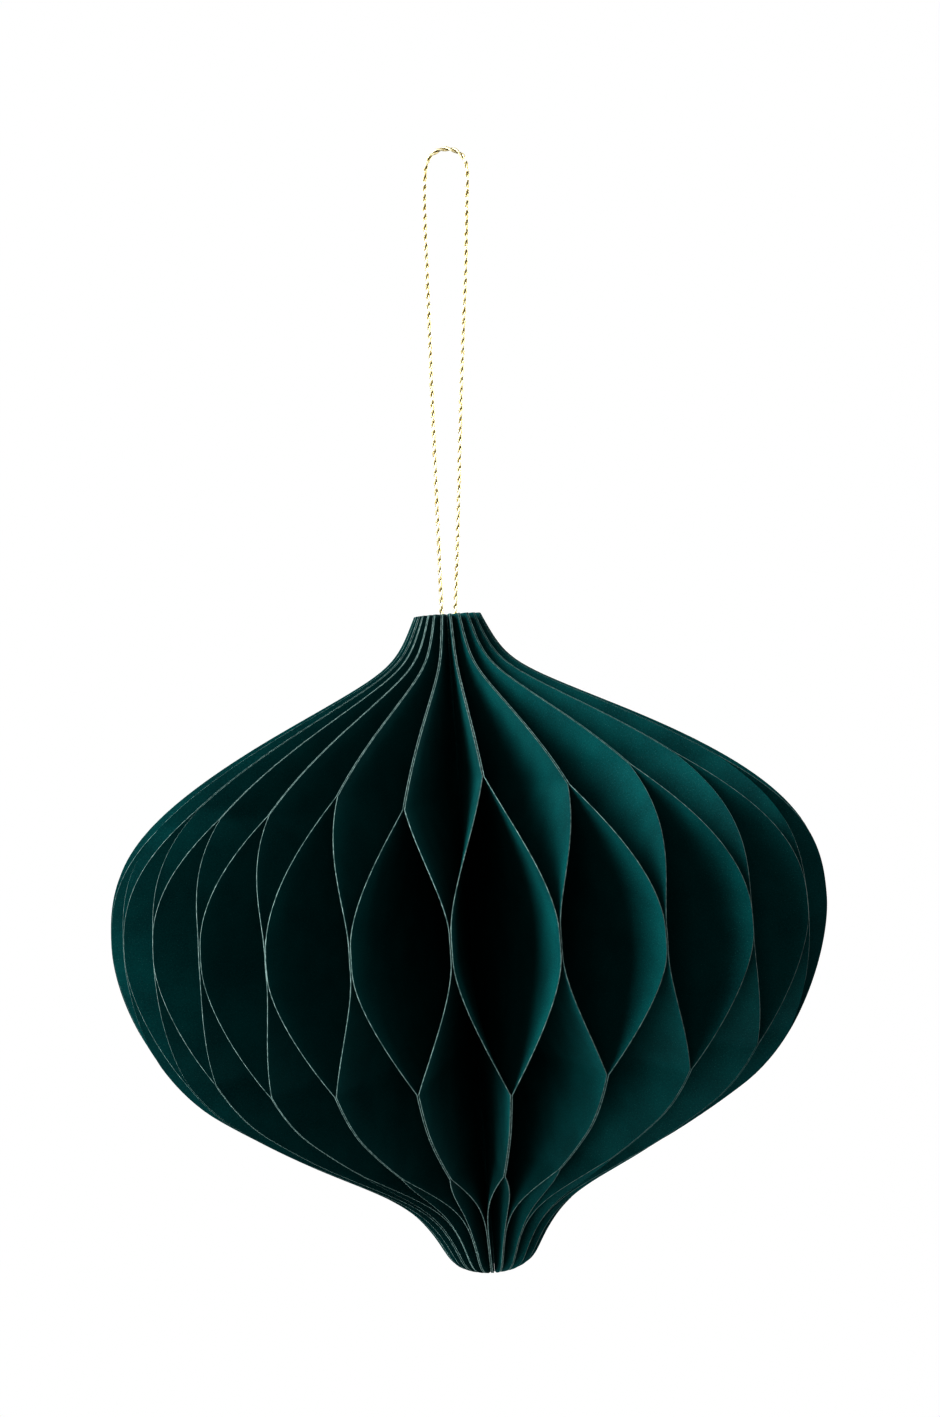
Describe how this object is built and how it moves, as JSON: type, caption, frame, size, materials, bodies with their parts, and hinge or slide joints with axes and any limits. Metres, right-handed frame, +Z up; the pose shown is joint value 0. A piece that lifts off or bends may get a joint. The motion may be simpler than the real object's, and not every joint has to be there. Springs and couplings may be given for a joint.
{
  "type": "paper honeycomb ball",
  "caption": "Hanging onion-shaped ornament of card leaves glued in a honeycomb that folds flat round its axis, on a twisted cord loop.",
  "frame": {"origin": "inside of the cord loop's apex, where the hook bears", "axes": "+Z up along the hanging cord, -Y the front, +X to the right of the front; the ball's own axis leans 4 degrees from Z, its tip towards +X"},
  "size_m": [0.0997, 0.1, 0.16],
  "materials": {
    "card": "matt dyed card with paler cut edges",
    "cord": "twisted metallic gold thread",
    "magnet": "nickel plated"
  },
  "bodies": {
    "cord": {"hanging_cord": "cord"},
    "knot": {"cord_knot": "cord"},
    "ball": {"leaf_24": "card"},
    "leaf_01": {"leaf_01": "card", "magnet_back": "magnet"},
    "leaf_02": {"leaf_02": "card"},
    "leaf_03": {"leaf_03": "card"},
    "leaf_04": {"leaf_04": "card"},
    "leaf_05": {"leaf_05": "card"},
    "leaf_06": {"leaf_06": "card"},
    "leaf_07": {"leaf_07": "card"},
    "leaf_08": {"leaf_08": "card"},
    "leaf_09": {"leaf_09": "card"},
    "leaf_10": {"leaf_10": "card"},
    "leaf_11": {"leaf_11": "card"},
    "leaf_12": {"leaf_12": "card"},
    "leaf_13": {"leaf_13": "card"},
    "leaf_14": {"leaf_14": "card"},
    "leaf_15": {"leaf_15": "card"},
    "leaf_16": {"leaf_16": "card"},
    "leaf_17": {"leaf_17": "card"},
    "leaf_18": {"leaf_18": "card"},
    "leaf_19": {"leaf_19": "card"},
    "leaf_20": {"leaf_20": "card"},
    "leaf_21": {"leaf_21": "card"},
    "leaf_22": {"leaf_22": "card"},
    "leaf_23": {"leaf_23": "card"},
    "leaf_25": {"leaf_25": "card"},
    "leaf_26": {"leaf_26": "card"},
    "leaf_27": {"leaf_27": "card"},
    "leaf_28": {"leaf_28": "card"},
    "leaf_29": {"leaf_29": "card"},
    "leaf_30": {"leaf_30": "card"},
    "leaf_31": {"leaf_31": "card"},
    "leaf_32": {"leaf_32": "card"},
    "leaf_33": {"leaf_33": "card"},
    "leaf_34": {"leaf_34": "card"},
    "leaf_35": {"leaf_35": "card"},
    "leaf_36": {"leaf_36": "card"},
    "leaf_37": {"leaf_37": "card"},
    "leaf_38": {"leaf_38": "card"},
    "leaf_39": {"leaf_39": "card"},
    "leaf_40": {"leaf_40": "card"},
    "leaf_41": {"leaf_41": "card"},
    "leaf_42": {"leaf_42": "card"},
    "leaf_43": {"leaf_43": "card"},
    "leaf_44": {"leaf_44": "card"},
    "leaf_45": {"leaf_45": "card"},
    "leaf_46": {"leaf_46": "card"},
    "leaf_47": {"leaf_47": "card"},
    "leaf_48": {"leaf_48": "card", "magnet_front": "magnet"}
  },
  "joints": [
    {"name": "turn", "type": "hinge", "parent": "cord", "child": "knot", "pos_m": [0, 0, -0.0691], "axis": [0, 0, 1], "continuous": true},
    {"name": "swing", "type": "hinge", "parent": "knot", "child": "ball", "pos_m": [0, 0, -0.0691], "axis": [0, 1, 0], "range_deg": [-25, 25]},
    {"name": "fold_leaf_01", "type": "hinge", "parent": "ball", "child": "leaf_01", "pos_m": [0.00234, 0.00235, -0.10774], "axis": [-0.0698, 0, 0.9976], "range_deg": [0, 177.75], "deforming": ["leaf_01"]},
    {"name": "fold_leaf_02", "type": "hinge", "parent": "ball", "child": "leaf_02", "pos_m": [0.00218, 0.00221, -0.10775], "axis": [-0.0698, 0, 0.9976], "range_deg": [0, 168.44], "deforming": ["leaf_02"]},
    {"name": "fold_leaf_03", "type": "hinge", "parent": "ball", "child": "leaf_03", "pos_m": [0.00204, 0.00206, -0.10776], "axis": [-0.0698, 0, 0.9976], "range_deg": [0, 159.13], "deforming": ["leaf_03"]},
    {"name": "fold_leaf_04", "type": "hinge", "parent": "ball", "child": "leaf_04", "pos_m": [0.0019, 0.00193, -0.10777], "axis": [-0.0698, 0, 0.9976], "range_deg": [0, 149.86], "deforming": ["leaf_04"]},
    {"name": "fold_leaf_05", "type": "hinge", "parent": "ball", "child": "leaf_05", "pos_m": [0.00178, 0.00179, -0.10778], "axis": [-0.0698, 0, 0.9976], "range_deg": [0, 140.64], "deforming": ["leaf_05"]},
    {"name": "fold_leaf_06", "type": "hinge", "parent": "ball", "child": "leaf_06", "pos_m": [0.00166, 0.00166, -0.10779], "axis": [-0.0698, 0, 0.9976], "range_deg": [0, 131.52], "deforming": ["leaf_06"]},
    {"name": "fold_leaf_07", "type": "hinge", "parent": "ball", "child": "leaf_07", "pos_m": [0.00156, 0.00152, -0.10779], "axis": [-0.0698, 0, 0.9976], "range_deg": [0, 122.52], "deforming": ["leaf_07"]},
    {"name": "fold_leaf_08", "type": "hinge", "parent": "ball", "child": "leaf_08", "pos_m": [0.00147, 0.00139, -0.1078], "axis": [-0.0698, 0, 0.9976], "range_deg": [0, 113.66], "deforming": ["leaf_08"]},
    {"name": "fold_leaf_09", "type": "hinge", "parent": "ball", "child": "leaf_09", "pos_m": [0.00138, 0.00126, -0.10781], "axis": [-0.0698, 0, 0.9976], "range_deg": [0, 104.97], "deforming": ["leaf_09"]},
    {"name": "fold_leaf_10", "type": "hinge", "parent": "ball", "child": "leaf_10", "pos_m": [0.0013, 0.00113, -0.10781], "axis": [-0.0698, 0, 0.9976], "range_deg": [0, 96.47], "deforming": ["leaf_10"]},
    {"name": "fold_leaf_11", "type": "hinge", "parent": "ball", "child": "leaf_11", "pos_m": [0.00123, 0.00101, -0.10782], "axis": [-0.0698, 0, 0.9976], "range_deg": [0, 88.18], "deforming": ["leaf_11"]},
    {"name": "fold_leaf_12", "type": "hinge", "parent": "ball", "child": "leaf_12", "pos_m": [0.00116, 0.00088, -0.10782], "axis": [-0.0698, 0, 0.9976], "range_deg": [0, 80.11], "deforming": ["leaf_12"]},
    {"name": "fold_leaf_13", "type": "hinge", "parent": "ball", "child": "leaf_13", "pos_m": [0.0011, 0.00075, -0.10782], "axis": [-0.0698, 0, 0.9976], "range_deg": [0, 72.27], "deforming": ["leaf_13"]},
    {"name": "fold_leaf_14", "type": "hinge", "parent": "ball", "child": "leaf_14", "pos_m": [0.00105, 0.00062, -0.10783], "axis": [-0.0698, 0, 0.9976], "range_deg": [0, 64.66], "deforming": ["leaf_14"]},
    {"name": "fold_leaf_15", "type": "hinge", "parent": "ball", "child": "leaf_15", "pos_m": [0.001, 0.00049, -0.10783], "axis": [-0.0698, 0, 0.9976], "range_deg": [0, 57.29], "deforming": ["leaf_15"]},
    {"name": "fold_leaf_16", "type": "hinge", "parent": "ball", "child": "leaf_16", "pos_m": [0.00096, 0.00036, -0.10783], "axis": [-0.0698, 0, 0.9976], "range_deg": [0, 50.15], "deforming": ["leaf_16"]},
    {"name": "fold_leaf_17", "type": "hinge", "parent": "ball", "child": "leaf_17", "pos_m": [0.00093, 0.00023, -0.10784], "axis": [-0.0698, 0, 0.9976], "range_deg": [0, 43.25], "deforming": ["leaf_17"]},
    {"name": "fold_leaf_18", "type": "hinge", "parent": "ball", "child": "leaf_18", "pos_m": [0.0009, 0.00009, -0.10784], "axis": [-0.0698, 0, 0.9976], "range_deg": [0, 36.56], "deforming": ["leaf_18"]},
    {"name": "fold_leaf_19", "type": "hinge", "parent": "ball", "child": "leaf_19", "pos_m": [0.00088, -0.00005, -0.10784], "axis": [-0.0698, 0, 0.9976], "range_deg": [0, 30.08], "deforming": ["leaf_19"]},
    {"name": "fold_leaf_20", "type": "hinge", "parent": "ball", "child": "leaf_20", "pos_m": [0.00087, -0.00021, -0.10784], "axis": [-0.0698, 0, 0.9976], "range_deg": [0, 23.78], "deforming": ["leaf_20"]},
    {"name": "fold_leaf_21", "type": "hinge", "parent": "ball", "child": "leaf_21", "pos_m": [0.00087, -0.0004, -0.10784], "axis": [-0.0698, 0, 0.9976], "range_deg": [0, 17.65], "deforming": ["leaf_21"]},
    {"name": "fold_leaf_22", "type": "hinge", "parent": "ball", "child": "leaf_22", "pos_m": [0.00088, -0.00051, -0.10784], "axis": [-0.0698, 0, 0.9976], "range_deg": [0, 11.67], "deforming": ["leaf_22"]},
    {"name": "fold_leaf_23", "type": "hinge", "parent": "ball", "child": "leaf_23", "pos_m": [0.00089, -0.00057, -0.10784], "axis": [-0.0698, 0, 0.9976], "range_deg": [0, 5.8], "deforming": ["leaf_23"]},
    {"name": "fold_leaf_25", "type": "hinge", "parent": "ball", "child": "leaf_25", "pos_m": [0.00091, -0.00067, -0.10784], "axis": [0.0698, 0, -0.9976], "range_deg": [0, 5.74], "deforming": ["leaf_25"]},
    {"name": "fold_leaf_26", "type": "hinge", "parent": "ball", "child": "leaf_26", "pos_m": [0.00092, -0.00072, -0.10784], "axis": [0.0698, 0, -0.9976], "range_deg": [0, 11.43], "deforming": ["leaf_26"]},
    {"name": "fold_leaf_27", "type": "hinge", "parent": "ball", "child": "leaf_27", "pos_m": [0.00094, -0.00077, -0.10784], "axis": [0.0698, 0, -0.9976], "range_deg": [0, 17.12], "deforming": ["leaf_27"]},
    {"name": "fold_leaf_28", "type": "hinge", "parent": "ball", "child": "leaf_28", "pos_m": [0.00095, -0.00081, -0.10784], "axis": [0.0698, 0, -0.9976], "range_deg": [0, 22.84], "deforming": ["leaf_28"]},
    {"name": "fold_leaf_29", "type": "hinge", "parent": "ball", "child": "leaf_29", "pos_m": [0.00097, -0.00086, -0.10783], "axis": [0.0698, 0, -0.9976], "range_deg": [0, 28.63], "deforming": ["leaf_29"]},
    {"name": "fold_leaf_30", "type": "hinge", "parent": "ball", "child": "leaf_30", "pos_m": [0.00099, -0.00091, -0.10783], "axis": [0.0698, 0, -0.9976], "range_deg": [0, 34.5], "deforming": ["leaf_30"]},
    {"name": "fold_leaf_31", "type": "hinge", "parent": "ball", "child": "leaf_31", "pos_m": [0.00103, -0.00099, -0.10783], "axis": [0.0698, 0, -0.9976], "range_deg": [0, 40.5], "deforming": ["leaf_31"]},
    {"name": "fold_leaf_32", "type": "hinge", "parent": "ball", "child": "leaf_32", "pos_m": [0.0011, -0.0011, -0.10783], "axis": [0.0698, 0, -0.9976], "range_deg": [0, 46.64], "deforming": ["leaf_32"]},
    {"name": "fold_leaf_33", "type": "hinge", "parent": "ball", "child": "leaf_33", "pos_m": [0.00117, -0.00121, -0.10782], "axis": [0.0698, 0, -0.9976], "range_deg": [0, 52.96], "deforming": ["leaf_33"]},
    {"name": "fold_leaf_34", "type": "hinge", "parent": "ball", "child": "leaf_34", "pos_m": [0.00125, -0.00132, -0.10781], "axis": [0.0698, 0, -0.9976], "range_deg": [0, 59.46], "deforming": ["leaf_34"]},
    {"name": "fold_leaf_35", "type": "hinge", "parent": "ball", "child": "leaf_35", "pos_m": [0.00134, -0.00142, -0.10781], "axis": [0.0698, 0, -0.9976], "range_deg": [0, 66.17], "deforming": ["leaf_35"]},
    {"name": "fold_leaf_36", "type": "hinge", "parent": "ball", "child": "leaf_36", "pos_m": [0.00143, -0.00151, -0.1078], "axis": [0.0698, 0, -0.9976], "range_deg": [0, 73.09], "deforming": ["leaf_36"]},
    {"name": "fold_leaf_37", "type": "hinge", "parent": "ball", "child": "leaf_37", "pos_m": [0.00153, -0.00161, -0.10779], "axis": [0.0698, 0, -0.9976], "range_deg": [0, 80.25], "deforming": ["leaf_37"]},
    {"name": "fold_leaf_38", "type": "hinge", "parent": "ball", "child": "leaf_38", "pos_m": [0.00164, -0.0017, -0.10779], "axis": [0.0698, 0, -0.9976], "range_deg": [0, 87.64], "deforming": ["leaf_38"]},
    {"name": "fold_leaf_39", "type": "hinge", "parent": "ball", "child": "leaf_39", "pos_m": [0.00175, -0.00179, -0.10778], "axis": [0.0698, 0, -0.9976], "range_deg": [0, 95.27], "deforming": ["leaf_39"]},
    {"name": "fold_leaf_40", "type": "hinge", "parent": "ball", "child": "leaf_40", "pos_m": [0.00188, -0.00188, -0.10777], "axis": [0.0698, 0, -0.9976], "range_deg": [0, 103.14], "deforming": ["leaf_40"]},
    {"name": "fold_leaf_41", "type": "hinge", "parent": "ball", "child": "leaf_41", "pos_m": [0.00201, -0.00197, -0.10776], "axis": [0.0698, 0, -0.9976], "range_deg": [0, 111.23], "deforming": ["leaf_41"]},
    {"name": "fold_leaf_42", "type": "hinge", "parent": "ball", "child": "leaf_42", "pos_m": [0.00215, -0.00205, -0.10775], "axis": [0.0698, 0, -0.9976], "range_deg": [0, 119.54], "deforming": ["leaf_42"]},
    {"name": "fold_leaf_43", "type": "hinge", "parent": "ball", "child": "leaf_43", "pos_m": [0.00229, -0.00213, -0.10774], "axis": [0.0698, 0, -0.9976], "range_deg": [0, 128.06], "deforming": ["leaf_43"]},
    {"name": "fold_leaf_44", "type": "hinge", "parent": "ball", "child": "leaf_44", "pos_m": [0.00245, -0.00221, -0.10773], "axis": [0.0698, 0, -0.9976], "range_deg": [0, 136.76], "deforming": ["leaf_44"]},
    {"name": "fold_leaf_45", "type": "hinge", "parent": "ball", "child": "leaf_45", "pos_m": [0.00262, -0.00229, -0.10772], "axis": [0.0698, 0, -0.9976], "range_deg": [0, 145.64], "deforming": ["leaf_45"]},
    {"name": "fold_leaf_46", "type": "hinge", "parent": "ball", "child": "leaf_46", "pos_m": [0.0028, -0.00237, -0.10771], "axis": [0.0698, 0, -0.9976], "range_deg": [0, 154.65], "deforming": ["leaf_46"]},
    {"name": "fold_leaf_47", "type": "hinge", "parent": "ball", "child": "leaf_47", "pos_m": [0.00299, -0.00244, -0.10769], "axis": [0.0698, 0, -0.9976], "range_deg": [0, 163.78], "deforming": ["leaf_47"]},
    {"name": "fold_leaf_48", "type": "hinge", "parent": "ball", "child": "leaf_48", "pos_m": [0.0032, -0.00251, -0.10768], "axis": [0.0698, 0, -0.9976], "range_deg": [0, 172.98], "deforming": ["leaf_48", "leaf_24"]}
  ],
  "couplings": [
    {"joint": "fold_leaf_01", "follows": "fold_leaf_48", "ratio": 1.0275},
    {"joint": "fold_leaf_02", "follows": "fold_leaf_48", "ratio": 0.97363},
    {"joint": "fold_leaf_03", "follows": "fold_leaf_48", "ratio": 0.91982},
    {"joint": "fold_leaf_04", "follows": "fold_leaf_48", "ratio": 0.86619},
    {"joint": "fold_leaf_05", "follows": "fold_leaf_48", "ratio": 0.81292},
    {"joint": "fold_leaf_06", "follows": "fold_leaf_48", "ratio": 0.76018},
    {"joint": "fold_leaf_07", "follows": "fold_leaf_48", "ratio": 0.70814},
    {"joint": "fold_leaf_08", "follows": "fold_leaf_48", "ratio": 0.65694},
    {"joint": "fold_leaf_09", "follows": "fold_leaf_48", "ratio": 0.60672},
    {"joint": "fold_leaf_10", "follows": "fold_leaf_48", "ratio": 0.55759},
    {"joint": "fold_leaf_11", "follows": "fold_leaf_48", "ratio": 0.50965},
    {"joint": "fold_leaf_12", "follows": "fold_leaf_48", "ratio": 0.46298},
    {"joint": "fold_leaf_13", "follows": "fold_leaf_48", "ratio": 0.41764},
    {"joint": "fold_leaf_14", "follows": "fold_leaf_48", "ratio": 0.37366},
    {"joint": "fold_leaf_15", "follows": "fold_leaf_48", "ratio": 0.33106},
    {"joint": "fold_leaf_16", "follows": "fold_leaf_48", "ratio": 0.28981},
    {"joint": "fold_leaf_17", "follows": "fold_leaf_48", "ratio": 0.24989},
    {"joint": "fold_leaf_18", "follows": "fold_leaf_48", "ratio": 0.21123},
    {"joint": "fold_leaf_19", "follows": "fold_leaf_48", "ratio": 0.17375},
    {"joint": "fold_leaf_20", "follows": "fold_leaf_48", "ratio": 0.13736},
    {"joint": "fold_leaf_21", "follows": "fold_leaf_48", "ratio": 0.10193},
    {"joint": "fold_leaf_22", "follows": "fold_leaf_48", "ratio": 0.067326},
    {"joint": "fold_leaf_23", "follows": "fold_leaf_48", "ratio": 0.033404},
    {"joint": "fold_leaf_25", "follows": "fold_leaf_48", "ratio": 0.033057},
    {"joint": "fold_leaf_26", "follows": "fold_leaf_48", "ratio": 0.065944},
    {"joint": "fold_leaf_27", "follows": "fold_leaf_48", "ratio": 0.098839},
    {"joint": "fold_leaf_28", "follows": "fold_leaf_48", "ratio": 0.13192},
    {"joint": "fold_leaf_29", "follows": "fold_leaf_48", "ratio": 0.16537},
    {"joint": "fold_leaf_30", "follows": "fold_leaf_48", "ratio": 0.19935},
    {"joint": "fold_leaf_31", "follows": "fold_leaf_48", "ratio": 0.23402},
    {"joint": "fold_leaf_32", "follows": "fold_leaf_48", "ratio": 0.26953},
    {"joint": "fold_leaf_33", "follows": "fold_leaf_48", "ratio": 0.30602},
    {"joint": "fold_leaf_34", "follows": "fold_leaf_48", "ratio": 0.3436},
    {"joint": "fold_leaf_35", "follows": "fold_leaf_48", "ratio": 0.38238},
    {"joint": "fold_leaf_36", "follows": "fold_leaf_48", "ratio": 0.42242},
    {"joint": "fold_leaf_37", "follows": "fold_leaf_48", "ratio": 0.4638},
    {"joint": "fold_leaf_38", "follows": "fold_leaf_48", "ratio": 0.50653},
    {"joint": "fold_leaf_39", "follows": "fold_leaf_48", "ratio": 0.55064},
    {"joint": "fold_leaf_40", "follows": "fold_leaf_48", "ratio": 0.5961},
    {"joint": "fold_leaf_41", "follows": "fold_leaf_48", "ratio": 0.64289},
    {"joint": "fold_leaf_42", "follows": "fold_leaf_48", "ratio": 0.69095},
    {"joint": "fold_leaf_43", "follows": "fold_leaf_48", "ratio": 0.74018},
    {"joint": "fold_leaf_44", "follows": "fold_leaf_48", "ratio": 0.7905},
    {"joint": "fold_leaf_45", "follows": "fold_leaf_48", "ratio": 0.84179},
    {"joint": "fold_leaf_46", "follows": "fold_leaf_48", "ratio": 0.8939},
    {"joint": "fold_leaf_47", "follows": "fold_leaf_48", "ratio": 0.94669}
  ]
}
